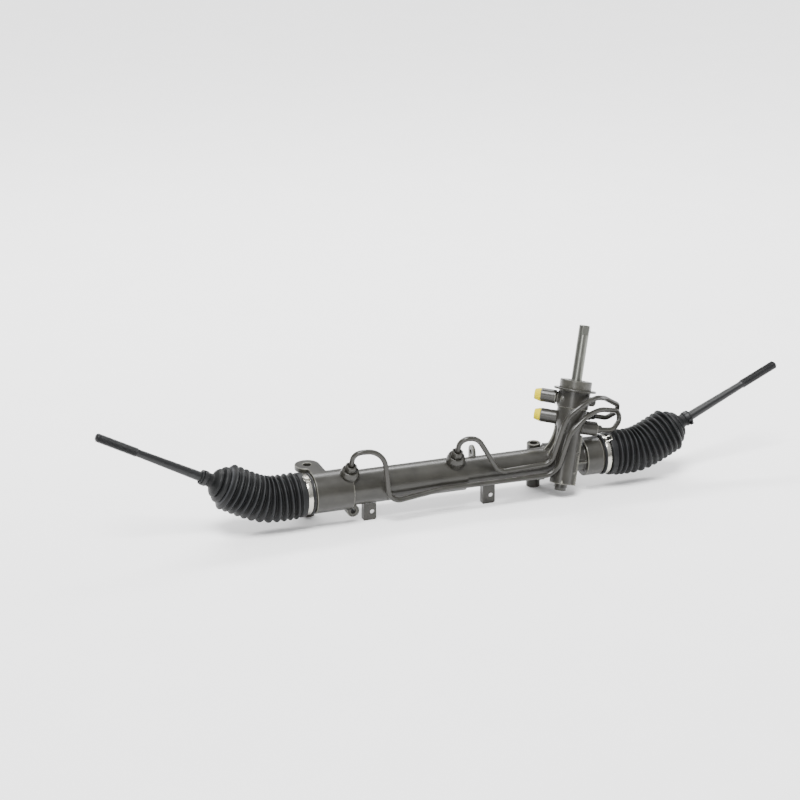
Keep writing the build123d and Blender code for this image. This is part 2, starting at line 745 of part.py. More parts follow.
# ---- yoke that holds the rack against the pinion ---------------------------------------------------------
with BuildPart() as rack_yoke:
    sleeve(yoke_plane, yoke_front, yoke_back, 0, yoke_r)
    sleeve(rack_plane, pinion_x - 2 * yoke_r, pinion_x + 2 * yoke_r, 0, bar_r + fit, mode=Mode.SUBTRACT)
keep(rack_yoke, "rack_yoke")

disc_meet = (yoke_back + yoke_plug_front) / 2
disc_outer_r = yoke_r - 2
disc_inner_r = yoke_r - 9
with BuildPart() as yoke_springs:
    for end, step in ((yoke_back, 1), (yoke_plug_front, -1)):
        turn(
            yoke_plane, (end + step * fit, disc_outer_r), (end + step * disc_spring_thick, disc_outer_r),
            (disc_meet - step * fit, disc_inner_r), (disc_meet - step * disc_spring_thick, disc_inner_r),
        )
keep(yoke_springs, "yoke_springs")

with BuildPart() as yoke_plug:
    sleeve(yoke_plane, yoke_plug_front, yoke_plug_back, 0, yoke_r)
    with BuildSketch(across(yoke_plane, yoke_plug_back)):
        RegularPolygon(yoke_r / 2, 6)
    extrude(amount=-yoke_r / 2, mode=Mode.SUBTRACT)
keep(yoke_plug, "yoke_plug")

with BuildPart() as yoke_lock_nut:
    hexagon(yoke_plane, yoke_boss_length, yoke_boss_length + yoke_lock_nut_length, yoke_lock_nut_r)
    sleeve(yoke_plane, yoke_boss_length, yoke_plug_back, 0, yoke_r + fit, mode=Mode.SUBTRACT)
keep(yoke_lock_nut, "yoke_lock_nut")

# ---- ports on the cylinder, their nuts and the plugs of the valve ------------------------------------------
port_thread_r = pipe_r + 2
thread_foot = tube_port_height - 8
for side, x in (("left", tube_port_x_left), ("right", tube_port_x_right)):
    with BuildPart() as port_boss:
        sleeve(tube_port(x), bore_r, tube_port_height, passage_r, tube_port_r)
        sleeve(tube_port(x), thread_foot, tube_port_height, 0, port_thread_r + fit, mode=Mode.SUBTRACT)
        sleeve(rack_plane, tube_left, tube_right, 0, tube_r + fit, mode=Mode.SUBTRACT)
        sleeve(rack_plane, left_shoulder, left_seam_x, 0, left_body_r + fit, mode=Mode.SUBTRACT)
    keep(port_boss, side + "_port_boss")
    with BuildPart() as pipe_nut:
        hexagon(tube_port(x), tube_port_height, tube_port_height + nut_length, nut_r)
        sleeve(tube_port(x), thread_foot + fit, tube_port_height, 0, port_thread_r)
        sleeve(tube_port(x), thread_foot, tube_port_height + nut_length, 0, pipe_r + fit, mode=Mode.SUBTRACT)
    keep(pipe_nut, side + "_pipe_nut")

for port, length, name in (
    (side_port, side_port_length, "side_port_nut"),
    (return_port, return_port_length, "return_port_nut"),
):
    with BuildPart() as port_nut:
        hexagon(port, length, length + port_nut_length, port_nut_r)
        sleeve(port, length, length + port_nut_length, 0, pipe_r + fit, mode=Mode.SUBTRACT)
    keep(port_nut, name)

ring_start = return_port_length + 16.0
with BuildPart() as pipe_ring:
    sleeve(return_port, ring_start, ring_start + 3, pipe_r + fit, pipe_r + 1.6)
keep(pipe_ring, "pipe_ring")

for port, length, name in (
    (low_port, low_port_length, "low_port_plug"),
    (high_port, high_port_length, "high_port_plug"),
):
    with BuildPart() as port_plug:
        turn(
            port, (length - plug_insert, 0), (length - plug_insert, port_hole_r - fit),
            (length, port_hole_r - fit),
            (length, plug_r), (length + plug_length, plug_tip_r), (length + plug_length, 0),
        )
    keep(port_plug, name)

# ---- transfer pipes: straight runs joined by bends, from the cylinder to the valve ---------------
def along(port, distance):
    """Point on the axis of a port."""
    return port.origin + port.x_dir * distance


def transfer_pipe(x, corners, port, end, turn_out, radii):
    """Round pipe from a port of the tube through its corners to a port of the valve."""
    start = tube_port(x)
    middle = [Vector(px, rack_y + py, pz) for px, py, pz in corners]
    with BuildLine() as route:
        FilletPolyline(
            along(start, thread_foot + 2), along(start, pipe_rise), *middle, along(port, turn_out),
            along(port, end - pipe_insert + 1),
            radius=radii,
        )
    with BuildSketch(across(start, thread_foot + 2)) as bore:
        Circle(pipe_r)
    sweep(bore.sketch, path=route.line)


with BuildPart() as left_transfer_pipe:
    transfer_pipe(
        tube_port_x_left,
        (
            (-128.2, -36.0, 122.6), (-119.3, -38.0, 35.7), (-27.6, -34.0, 45.4), (159.4, -34.0, 43.0),
            (179.2, -37.0, 110.2), (224.1, -26.0, 141.6), (277.0, 6.0, 120.6), (290.0, 14.0, 103.4),
            (266.0, -8.0, 94.4),
        ),
        side_port, side_port_length, side_port_length + 14,
        (14, 30, 20, 60, 28, 34, 60, 14, 9, 14, 14),
    )
keep(left_transfer_pipe, "left_transfer_pipe")

with BuildPart() as right_transfer_pipe:
    transfer_pipe(
        tube_port_x_right,
        (
            (27.1, -32.0, 120.5), (62.8, -32.0, 59.4), (150.8, -32.0, 61.9), (173.3, -36.0, 136.6),
            (218.2, -32.0, 164.0), (254.2, 0.0, 146.5), (285.5, 20.0, 124.6), (288.5, 28.0, 109.2),
            (268.9, 26.0, 102.1),
        ),
        return_port, return_port_length, return_port_length + 24,
        (14, 24, 20, 18, 40, 50, 40, 12, 7, 14, 14),
    )
keep(right_transfer_pipe, "right_transfer_pipe")

# ---- sheet brackets under the tube ---------------------------------------------------------------
for side, x, under_r in (("left", bracket_x_left, tube_r), ("right", bracket_x_right, right_tube_r)):
    with BuildPart() as bracket:
        front = Plane(origin=(x, rack_y + bracket_front, 0), x_dir=(1, 0, 0), z_dir=(0, -1, 0))
        with BuildSketch(front) as face:
            Rectangle(bracket_width, axis_z - under_r / 2, align=(Align.CENTER, Align.MIN))
            fillet(face.vertices().group_by(Axis.Z)[0], radius=bracket_corner)
            with Locations((bracket_hole_shift, bracket_hole_z)):
                Circle(bracket_hole_r, mode=Mode.SUBTRACT)
        extrude(amount=-bracket_sheet)
        with BuildSketch(Plane.XY):
            with Locations((x - bracket_width / 2, rack_y + bracket_front)):
                Rectangle(bracket_sheet, bracket_depth, align=(Align.MIN, Align.MIN))
        extrude(amount=axis_z - under_r / 2)
        sleeve(rack_plane, x - bracket_width, x + bracket_width, 0, under_r + fit, mode=Mode.SUBTRACT)
    keep(bracket, side + "_bracket")

# ---- inner ball joints, tie rods, bellows and clamps, left and right -----------------------------
def bellows_skin(spine, stations, mode=Mode.ADD):
    """Skin through circles along the spine, from pairs of (fraction of its length, radius)."""
    circles = []
    for fraction, radius in stations:
        with BuildSketch(Plane(origin=spine @ fraction, x_dir=(0, 1, 0), z_dir=spine % fraction)) as circle:
            Circle(radius)
        circles.append(circle.sketch)
    loft(circles, ruled=True, mode=mode)


inner_end_r = rod_clip_r + free
end_r = inner_end_r + neck_wall
pitch = folds_end / convolutions
folds = [(i * pitch / 2, crest_r if i % 2 else valley_r) for i in range(2 * convolutions + 1)]
step_radii = enumerate((27.0, 20.0))
steps = [(folds_end + (1 - folds_end) * (i + k) / 3, r) for i, r in step_radii for k in (0.35, 1.0)]
outer_skin = folds + steps + [(1.0, end_r)]
inner_skin = (
    (0.0, bellows_r), (0.3, bellows_r), (0.6, bellows_r), (folds_end, bellows_r - 3),
    (1.0, inner_end_r + fit),
)

for name, side, band_x, lift, swing in (
    ("left", -1, -band_x_left, rod_lift_left, rod_swing_left),
    ("right", 1, band_x_right, rod_lift_right, rod_swing_right),
):
    ball = Vector(side * ball_span / 2, rack_y, axis_z)
    level = cos(radians(lift))
    rod_dir = Vector(side * level * cos(radians(swing)), level * sin(radians(swing)), sin(radians(lift)))
    seat_dir = Vector(rod_dir.X, 0, rod_dir.Z).normalized()
    side_plane = Plane(origin=rack_origin, x_dir=(side, 0, 0), z_dir=(0, -side, 0))
    ball_plane = Plane(origin=ball, x_dir=(side, 0, 0), z_dir=(0, -side, 0))
    seat_plane = Plane(origin=ball, x_dir=seat_dir, z_dir=(0, -side, 0))
    rod_plane = Plane(origin=ball, x_dir=rod_dir, z_dir=rod_dir.cross(Vector(0, 0, 1)))

    with BuildPart() as lock_washer:
        sleeve(ball_plane, -socket_back - washer_thick, -socket_back, stud_r + fit, washer_r)
    keep(lock_washer, name + "_lock_washer")

    with BuildPart() as ball_housing:
        turn(
            ball_plane, (-socket_back - stud_length, 0), (-socket_back - stud_length, stud_r),
            (-socket_back, stud_r),
            (-socket_back, socket_r - 1), (1 - socket_back, socket_r), (socket_lip - 2, socket_r),
            (socket_lip, socket_r - 3), (socket_lip, 0),
        )
        with BuildSketch(ball_plane):
            with BuildLine():
                CenterArc((0, 0), seat_r + fit, 0, 180)
                Line((-seat_r - fit, 0), (seat_r + fit, 0))
            make_face()
        revolve(axis=Axis(ball, ball_plane.x_dir), mode=Mode.SUBTRACT)
    keep(ball_housing, name + "_ball_housing")

    mouth = radians(seat_mouth)
    with BuildPart() as ball_seat:
        with BuildSketch(seat_plane) as shell:
            with BuildLine():
                CenterArc((0, 0), seat_r, seat_mouth, 180 - seat_mouth)
                Line((-seat_r, 0), (-ball_r - fit, 0))
                CenterArc((0, 0), ball_r + fit, seat_mouth, 180 - seat_mouth)
                Line(
                    (seat_r * cos(mouth), seat_r * sin(mouth)),
                    ((ball_r + fit) * cos(mouth), (ball_r + fit) * sin(mouth)),
                )
            make_face()
        revolve(axis=Axis(ball, seat_dir))
    keep(ball_seat, name + "_ball_seat")

    ball_edge = sqrt(ball_r**2 - rod_neck_r**2)
    waist_end = rod_length - thread_length - 3
    with BuildPart() as tie_rod:
        with BuildSketch(rod_plane):
            with BuildLine():
                ThreePointArc((-ball_r, 0), (0, ball_r), (ball_edge, rod_neck_r))
                Polyline(
                    (ball_edge, rod_neck_r), (socket_back, rod_neck_r),
                    (clip_reach - 2 * clip_width, rod_clip_r),
                    (clip_reach + clip_width, rod_clip_r), (waist_end, rod_waist_r),
                    (waist_end + 3, thread_r),
                    (rod_length - rod_tip, thread_r), (rod_length, thread_r - rod_tip), (rod_length, 0),
                    (-ball_r, 0),
                )
            make_face()
        revolve(axis=Axis(ball, rod_dir))
    keep(tie_rod, name + "_tie_rod")

    lip_start = band_x - band_width / 2 - lip_length
    collar_start = band_x + band_width / 2 + 1
    with BuildLine() as spine:
        folds_start = Vector(side * (band_x + bellows_start), rack_y, axis_z)
        neck_start = ball + rod_dir * bend_reach
        elbow = ball - Vector(0, 0, bellows_sag)
        near, far = (ball * 0.75 + end * 0.25 for end in (folds_start, neck_start))
        Bezier(folds_start, near, elbow, far, neck_start)
    with BuildPart() as bellows:
        turn(
            side_plane, (lip_start, 0), (lip_start, lip_r), (lip_start + lip_length, lip_r),
            (lip_start + lip_length, groove_r), (collar_start, groove_r), (collar_start, collar_r),
            (collar_start + spigot_front, collar_r), (band_x + bellows_start, valley_r),
            (band_x + bellows_start, 0),
        )
        bellows_skin(spine.line, outer_skin)
        sleeve(rod_plane, bend_reach, bend_reach + neck_length + clip_width, 0, end_r)
        sleeve(side_plane, lip_start - 1, band_x + spigot_front + fit, 0, spigot_r + fit, mode=Mode.SUBTRACT)
        sleeve(side_plane, band_x, band_x + bellows_start + fit, 0, bellows_r - fit, mode=Mode.SUBTRACT)
        bellows_skin(spine.line, inner_skin, mode=Mode.SUBTRACT)
        sleeve(rod_plane, bend_reach - fit, rod_length, 0, inner_end_r, mode=Mode.SUBTRACT)
    keep(bellows, name + "_bellows")

    with BuildPart() as band_clamp:
        sleeve(
            side_plane, band_x - band_width / 2 + fit, band_x + band_width / 2 - fit, groove_r + fit,
            groove_r + fit + band_thick,
        )
        band_middle = rack_origin + Vector(side * band_x, 0, 0)
        with BuildSketch(Plane(origin=band_middle, x_dir=(0, 1, 0), z_dir=(1, 0, 0))):
            with PolarLocations(groove_r + band_thick, 1, start_angle=buckle_angle):
                Rectangle(buckle_thick, buckle_length, align=(Align.MIN, Align.CENTER))
        extrude(amount=band_width / 2 - fit, both=True)
    keep(band_clamp, name + "_band_clamp")

    with BuildPart() as rod_clip:
        sleeve(
            rod_plane, clip_reach - clip_width / 2, clip_reach + clip_width / 2, end_r + fit,
            end_r + clip_thick,
        )
        with BuildSketch(across(rod_plane, clip_reach)):
            with PolarLocations(end_r + clip_thick / 2, 2, clip_angle, clip_ears_apart, endpoint=True):
                Rectangle(ear_length, clip_thick, align=(Align.MIN, Align.CENTER))
        extrude(amount=clip_width / 2, both=True)
    keep(rod_clip, name + "_rod_clip")
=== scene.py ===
import json
from math import pi, radians

import bmesh
import bpy
import numpy as np
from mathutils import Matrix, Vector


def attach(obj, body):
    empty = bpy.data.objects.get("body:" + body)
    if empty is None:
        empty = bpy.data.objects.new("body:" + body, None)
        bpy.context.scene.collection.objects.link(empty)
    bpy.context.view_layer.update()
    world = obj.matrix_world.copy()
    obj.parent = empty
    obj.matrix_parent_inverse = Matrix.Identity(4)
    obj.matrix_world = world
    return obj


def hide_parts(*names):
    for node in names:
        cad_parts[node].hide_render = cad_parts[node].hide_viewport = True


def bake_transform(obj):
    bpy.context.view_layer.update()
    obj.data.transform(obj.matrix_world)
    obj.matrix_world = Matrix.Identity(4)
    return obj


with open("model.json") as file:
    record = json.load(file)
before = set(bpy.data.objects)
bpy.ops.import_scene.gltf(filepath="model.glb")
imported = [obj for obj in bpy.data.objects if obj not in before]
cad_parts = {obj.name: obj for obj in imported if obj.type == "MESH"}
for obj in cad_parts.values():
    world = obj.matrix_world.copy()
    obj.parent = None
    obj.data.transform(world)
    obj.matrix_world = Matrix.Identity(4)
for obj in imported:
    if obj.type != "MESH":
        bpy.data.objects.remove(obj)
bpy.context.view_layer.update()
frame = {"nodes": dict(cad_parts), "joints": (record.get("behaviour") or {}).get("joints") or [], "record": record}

# ---- studio ---------------------------------------------------------------------------------
# The rack lies on white card under one broad soft light from above, a tall soft box from the front
# left that shapes the valve tower, a strip light over the back, and a weak fill from the right.
mm = 0.001


def linear(code):
    """Linear colour of an sRGB hex code: each channel goes through the sRGB curve."""
    channels = np.array([int(code[i:i + 2], 16) for i in (1, 3, 5)]) / 255
    curved = np.where(channels <= 0.04045, channels / 12.92, ((channels + 0.055) / 1.055) ** 2.4)
    return (*curved, 1.0)


def add(tree, kind, values=None, links=None, **settings):
    """Add a node to a tree, with its settings, the values of its inputs and the links into them."""
    node = tree.nodes.new(kind)
    for name, value in settings.items():
        setattr(node, name, value)
    for name, value in (values or {}).items():
        node.inputs[name].default_value = value
    for name, socket in (links or {}).items():
        tree.links.new(socket, node.inputs[name])
    return node


def finish(name, roughness, metallic=0.0, **values):
    """New material with its shader; the values are the shader's own inputs, by name."""
    material = bpy.data.materials.new(name)
    material.use_nodes = True
    shader = material.node_tree.nodes["Principled BSDF"]
    shader.inputs["Roughness"].default_value = roughness
    shader.inputs["Metallic"].default_value = metallic
    for key, value in values.items():
        shader.inputs[key.replace("_", " ")].default_value = value
    return material, material.node_tree, shader


# The camera stands 4 m off, a little to the left, and looks 20.6 degrees down.
camera_data = bpy.data.cameras.new("camera")
camera_data.lens = 118.89
camera_data.sensor_width = 36.0
camera_data.clip_end = 60.0
camera = bpy.data.objects.new("camera", camera_data)
camera.location = (-1.3662, -3.5751, 1.6139)
camera.rotation_euler = (radians(90 - 20.64), 0, radians(-19.7))
bpy.context.scene.collection.objects.link(camera)
bpy.context.scene.camera = camera

# The room is pale above and darker towards the floor, which gives painted metal its dark lower band.
world = bpy.data.worlds.new("studio")
world.use_nodes = True
sky = world.node_tree
ray = add(sky, "ShaderNodeTexCoord")
height = add(sky, "ShaderNodeSeparateXYZ", links={"Vector": ray.outputs["Generated"]})
ramp = add(sky, "ShaderNodeMapRange", {"From Min": -0.1, "From Max": 0.7, "To Min": 0.07, "To Max": 1.0},
           {"Value": height.outputs["Z"]})
sky.links.new(ramp.outputs["Result"], sky.nodes["Background"].inputs["Strength"])
sky.nodes["Background"].inputs["Color"].default_value = linear("#fbfbfd")
bpy.context.scene.world = world

for name, kind, place, power, settings in (
    ("key", "SUN", (-0.6, -1.0, 2.6), 6.5, {"angle": radians(26)}),
    ("front", "AREA", (-1.7, -2.7, 1.0), 34, {"shape": "RECTANGLE", "size": 0.7, "size_y": 1.2}),
    ("strip", "AREA", (0.2, 1.6, 1.9), 70, {"shape": "RECTANGLE", "size": 2.8, "size_y": 0.4}),
    ("fill", "AREA", (2.4, -1.4, 1.1), 14, {"shape": "RECTANGLE", "size": 1.0, "size_y": 1.0}),
):
    data = bpy.data.lights.new(name, kind)
    data.energy = power
    for setting, value in settings.items():
        setattr(data, setting, value)
    light = bpy.data.objects.new(name, data)
    light.location = place
    light.rotation_euler = Vector(place).to_track_quat("Z", "Y").to_euler()
    bpy.context.scene.collection.objects.link(light)

# Matt card: a soft shadow and no gloss, with a cloud of tone too faint to notice.
floor_material, tree, shader = finish("matt_white_card", 0.75)
place = add(tree, "ShaderNodeTexCoord")
grain = add(tree, "ShaderNodeTexNoise", {"Scale": 1 / (120 * mm)}, {"Vector": place.outputs["Object"]})
tone = add(tree, "ShaderNodeMixRGB", {"Color1": linear("#f8f8f8"), "Color2": linear("#fdfdfd")},
           {"Fac": grain.outputs["Fac"]})
tree.links.new(tone.outputs["Color"], shader.inputs["Base Color"])
reach = 14.0
floor_mesh = bpy.data.meshes.new("floor")
floor_mesh.from_pydata([(-reach, -reach, 0), (reach, -reach, 0), (reach, reach, 0), (-reach, reach, 0)],
                       [], [(0, 1, 2, 3)])
floor_mesh.materials.append(floor_material)
floor = bpy.data.objects.new("floor", floor_mesh)
bpy.context.scene.collection.objects.link(floor)

# ---- castings: pinion housing, valve housing and left end housing -----------------------------
# Gravity-cast aluminium under a thin satin grey paint: every corner has a soft radius, the sand
# leaves a fine pebbled skin, the proud edges are painted brighter, partly as wear from handling and
# partly as painted highlight, and the hollows are painted darker as painted shade.
cast_voxel = 0.8
cast_rounds = 2
cast_share = {"pinion_housing": 0.4, "left_end_housing": 0.7, "valve_housing": 1.0}


def piece(name, mesh, material, body, slot, *nodes, blend=None):
    """Put a finished mesh into the scene as a piece that stands for its CAD nodes."""
    new = bpy.data.objects.new(name, mesh)
    bpy.context.scene.collection.objects.link(new)
    mesh.materials.clear()
    mesh.materials.append(material)
    mesh.shade_smooth()
    if blend:
        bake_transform(new)
    else:
        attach(new, body)
    if nodes:
        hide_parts(*nodes)
    return new


def merged(node):
    """Copy of a CAD node's mesh with its loose triangles joined along their edges."""
    mesh = frame["nodes"][node].data.copy()
    work = bmesh.new()
    work.from_mesh(mesh)
    bmesh.ops.remove_doubles(work, verts=work.verts, dist=1e-6)
    work.to_mesh(mesh)
    work.free()
    return mesh


def modified(mesh, *steps):
    """Mesh after modifiers, given as (kind, settings); nothing stays live."""
    work = bpy.data.objects.new("work", mesh)
    bpy.context.scene.collection.objects.link(work)
    for kind, settings in steps:
        modifier = work.modifiers.new(kind, kind)
        for key, value in settings.items():
            setattr(modifier, key, value)
    shaped = work.evaluated_get(bpy.context.evaluated_depsgraph_get())
    result = bpy.data.meshes.new_from_object(shaped)
    bpy.data.objects.remove(work)
    return result


def paint_with_wear_and_painted_light(name, dark, light, rubbed_and_highlit, roughness, grit, relief, wear_and_shade):
    """Satin paint over metal: mottled between two tones, pebbled at the grit's size in millimetres,
    and, by the share given, painted brighter where the surface bulges, partly as wear and partly as
    painted highlight, and painted darker where it is hollow, as painted shade."""
    material, tree, shader = finish(name, roughness, Specular_IOR_Level=0.42)
    place = add(tree, "ShaderNodeTexCoord")
    cloud = add(tree, "ShaderNodeTexNoise", {"Scale": 1 / (28 * mm), "Detail": 5.0, "Roughness": 0.6},
                {"Vector": place.outputs["Object"]})
    mottle = add(tree, "ShaderNodeMapRange", {"From Min": 0.35, "From Max": 0.65},
                 {"Value": cloud.outputs["Fac"]})
    tone = add(tree, "ShaderNodeMixRGB", {"Color1": linear(dark), "Color2": linear(light)},
               {"Fac": mottle.outputs["Result"]})
    edge = add(tree, "ShaderNodeNewGeometry")
    # Proud edges painted brighter: partly rubbed wear, partly a painted highlight on the lit edges.
    proud = add(tree, "ShaderNodeMapRange", {"From Min": 0.51, "From Max": 0.55, "To Max": wear_and_shade},
                {"Value": edge.outputs["Pointiness"]})
    scuff = add(tree, "ShaderNodeTexNoise", {"Scale": 1 / (6 * mm), "Detail": 3.0},
                {"Vector": place.outputs["Object"]})
    patchy = add(tree, "ShaderNodeMapRange", {"From Min": 0.3, "From Max": 0.7, "To Min": 0.35},
                 {"Value": scuff.outputs["Fac"]})
    broken = add(tree, "ShaderNodeMath", links={0: proud.outputs["Result"], 1: patchy.outputs["Result"]},
                 operation="MULTIPLY")
    worn_and_highlit = add(tree, "ShaderNodeMixRGB", {"Color2": linear(rubbed_and_highlit)},
               {"Fac": broken.outputs["Value"], "Color1": tone.outputs["Color"]})
    # Hollows painted darker: painted shade in the recesses, scaled by the same share.
    hollow_shade = add(tree, "ShaderNodeMapRange", {"From Min": 0.38, "From Max": 0.48, "To Min": 1 - 0.5 * wear_and_shade},
               {"Value": edge.outputs["Pointiness"]})
    painted_shade = add(tree, "ShaderNodeMixRGB", {"Fac": 1.0},
                {"Color1": worn_and_highlit.outputs["Color"], "Color2": hollow_shade.outputs["Result"]}, blend_type="MULTIPLY")
    tree.links.new(painted_shade.outputs["Color"], shader.inputs["Base Color"])
    gloss = add(tree, "ShaderNodeMapRange", {"To Min": roughness - 0.05, "To Max": roughness + 0.07},
                {"Value": cloud.outputs["Fac"]})
    tree.links.new(gloss.outputs["Result"], shader.inputs["Roughness"])
    pebble = add(tree, "ShaderNodeTexNoise", {"Scale": 1 / (grit * mm), "Detail": 2.0},
                 {"Vector": place.outputs["Object"]})
    bump = add(tree, "ShaderNodeBump", {"Strength": 0.5, "Distance": relief * mm},
               {"Height": pebble.outputs["Fac"]})
    tree.links.new(bump.outputs["Normal"], shader.inputs["Normal"])
    return material


# Satin grey over a cast skin: a soft broken highlight, with corners painted brighter as wear and
# painted highlight, and hollows painted darker as painted shade.
cast_paint = paint_with_wear_and_painted_light("satin_grey_paint_on_cast_aluminium", "#21201c", "#2c2b27", "#77766d", 0.33,
                        grit=1.1, relief=0.12, wear_and_shade=1.0)
for node in ("pinion_housing", "left_end_housing", "valve_housing"):
    skin = modified(
        merged(node),
        ("REMESH", {"mode": "VOXEL", "voxel_size": cast_voxel * mm}),
        ("SMOOTH", {"factor": 0.5, "iterations": cast_rounds}),
        ("DECIMATE", {"ratio": cast_share[node]}),
    )
    piece(node + "_casting", skin, cast_paint, "housing", "cast_housing", node)

# ---- cylinder tube, its ports, the fluid pipes and the brackets --------------------------------
# Drawn steel tube with welded-on ports and bent pipes, sprayed in the same grey as the castings
# but smoother, so that it carries a longer highlight.
# The same grey on smooth steel: one long clean highlight along the tube and each pipe.
tube_paint = paint_with_wear_and_painted_light("satin_grey_paint_on_drawn_steel", "#22211d", "#2b2a26", "#504f4a", 0.29,
                        grit=1.6, relief=0.03, wear_and_shade=0.0)
for node in ("cylinder_tube", "left_transfer_pipe", "right_transfer_pipe"):
    frame["nodes"][node].data.materials.clear()
    frame["nodes"][node].data.materials.append(tube_paint)
    frame["nodes"][node].data.shade_smooth()


def eased(outline, radius, steps=4):
    """Outline with each inner corner replaced by a short curve that starts and ends a radius from it,
    or at 0.45 of the side where that is shorter."""
    points = np.array(outline, float)
    before, corner, after = points[:-2], points[1:-1], points[2:]
    back, ahead = before - corner, after - corner
    back_length = np.linalg.norm(back, axis=1, keepdims=True)
    ahead_length = np.linalg.norm(ahead, axis=1, keepdims=True)
    start = corner + back / back_length * np.minimum(radius, 0.45 * back_length)
    end = corner + ahead / ahead_length * np.minimum(radius, 0.45 * ahead_length)
    t = np.linspace(0, 1, steps + 1)[None, :, None]
    curve = (1 - t) ** 2 * start[:, None] + 2 * t * (1 - t) * corner[:, None] + t**2 * end[:, None]
    return np.vstack([points[:1], curve.reshape(-1, points.shape[1]), points[-1:]])


def skin_of(name, grid, closed_rows=False):
    """Mesh of a grid of points in millimetres, rows by columns: columns close on themselves, rows
    where asked; doubles at poles are merged and the faces turned outwards."""
    rows, columns = grid.shape[:2]
    index = np.arange(rows * columns).reshape(rows, columns)
    index = np.hstack([index, index[:, :1]])
    if closed_rows:
        index = np.vstack([index, index[:1]])
    quads = np.stack([index[:-1, :-1], index[1:, :-1], index[1:, 1:], index[:-1, 1:]], -1)
    mesh = bpy.data.meshes.new(name)
    mesh.from_pydata((grid.reshape(-1, 3) * mm).tolist(), [], quads.reshape(-1, 4).tolist())
    work = bmesh.new()
    work.from_mesh(mesh)
    bmesh.ops.remove_doubles(work, verts=work.verts, dist=1e-7)
    bmesh.ops.recalc_face_normals(work, faces=work.faces)
    work.to_mesh(mesh)
    work.free()
    return mesh


def square_to(along):
    """Two unit vectors square to a direction and to each other."""
    along = np.array(along, float)
    first = np.cross(along, (0.0, 1.0, 0.0))
    first /= np.linalg.norm(first)
    return first, np.cross(along, first)


def turned(name, centre, along, profile, sides=96, shape=None, closed=False):
    """Profile of (distance, radius) pairs carried round an axis. The shape, if given, turns radius,
    angle and distance into the radius that is cut there, as for flats and threads."""
    along = np.array(along, float) / np.linalg.norm(along)
    first, second = square_to(along)
    angle = np.linspace(0, 2 * pi, sides, endpoint=False)[None, :]
    distance, radius = np.array(profile, float).T[:, :, None]
    radius = shape(radius, angle, distance) if shape else radius * np.ones_like(angle)
    around = np.cos(angle)[..., None] * first + np.sin(angle)[..., None] * second
    grid = np.array(centre, float) + distance[..., None] * along + radius[..., None] * around
    return skin_of(name, grid, closed_rows=closed)


def at(joint_name):
    """Place of a joint in millimetres, and its axis."""
    joint = next(j for j in frame["joints"] if j["name"] == joint_name)
    return np.array(joint["pos_m"]) / mm, np.array(joint["axis"])


def hexagonal(flat_radius):
    """Shape that cuts a turned blank to a hexagon with that distance from the axis to its flats."""
    def cut(radius, angle, distance):
        across = flat_radius / np.cos((angle % (pi / 3)) - pi / 6)
        return np.minimum(radius * np.ones_like(angle), np.where(radius > 0.8 * flat_radius, across, radius))
    return cut


rack_y, axis_z = at("left_rod_lift")[0][1:]
port_slope = radians(25.0)
port_out = np.array([0, -np.sin(port_slope), np.cos(port_slope)])
bore_r, port_top, port_r = 22.0, 42.0, 14.0
bead_foot, bead_top, bead_rise = port_top - 10, port_top - 7.4, 0.8
nut_top, nut_r = 51.5, 9.6
collar_foot, collar_top, collar_dip = port_top + 3, port_top + 4.6, 0.7
for side, x in (("left", -176.0), ("right", -2.5)):
    centre = (x, rack_y, axis_z)
    boss = eased([(bore_r + 1, 0), (bore_r + 1, port_r), (bead_foot, port_r),
                  (bead_foot + 1, port_r + bead_rise), (bead_top, port_r + bead_rise),
                  (port_top - 0.8, port_r - 1.2), (port_top, port_r - 2.2),
                  (port_top, nut_r + 1.3), (port_top - 1.6, nut_r + 0.9), (port_top - 1.6, 0)], 0.4)
    piece(side + "_port_turned", turned(side + "_port_turned", centre, port_out, boss), tube_paint,
          "housing", "tube_paint", side + "_port_boss")
    nut = eased([(port_top - 2, 0), (port_top - 2, nut_r), (collar_foot, nut_r),
                 (collar_foot + 0.4, nut_r - collar_dip), (collar_top - 0.4, nut_r - collar_dip),
                 (collar_top, nut_r), (nut_top - 2.4, nut_r), (nut_top, nut_r - 2.2), (nut_top, 6.0),
                 (nut_top - 3, 5.6), (nut_top - 3.4, 0)], 0.3)
    piece(side + "_nut_turned",
          turned(side + "_nut_turned", centre, port_out, nut, shape=hexagonal(nut_r * 0.9)),
          tube_paint, "housing", "tube_paint", side + "_pipe_nut")

for node in ("left_bracket", "right_bracket", "bottom_cap", "yoke_lock_nut", "yoke_plug"):
    softened = modified(
        merged(node),
        ("BEVEL", {"width": 0.45 * mm, "segments": 3, "limit_method": "ANGLE", "angle_limit": radians(35)}),
        ("WEIGHTED_NORMAL", {}),
    )
    piece(node + "_eased", softened, tube_paint, "housing", "tube_paint", node)

# ---- pinion axis: flange, top cap and input shaft ------------------------------------------------
# The pressed flange and the turned cap close the valve and are painted with it. The ground shaft
# comes out through the cap, bare steel, with one milled flat at its end.
pinion_at, pinion_along = at("pinion_turn")
front = np.array([0, -pinion_along[2], pinion_along[1]])
front /= np.linalg.norm(front)
to_side = np.cross(pinion_along, front)
flange_foot, flange_top, flange_r = 112.0, 115.0, 33.7
cap_top, cap_r = 128.5, 25.3
shaft_foot, shaft_top, shaft_neck_r, shaft_r = 105.0, 216.0, 9.0, 8.5
flat_length, flat_depth = 15.0, 1.6
opening_r = shaft_neck_r + 0.4
chamfer = 0.6

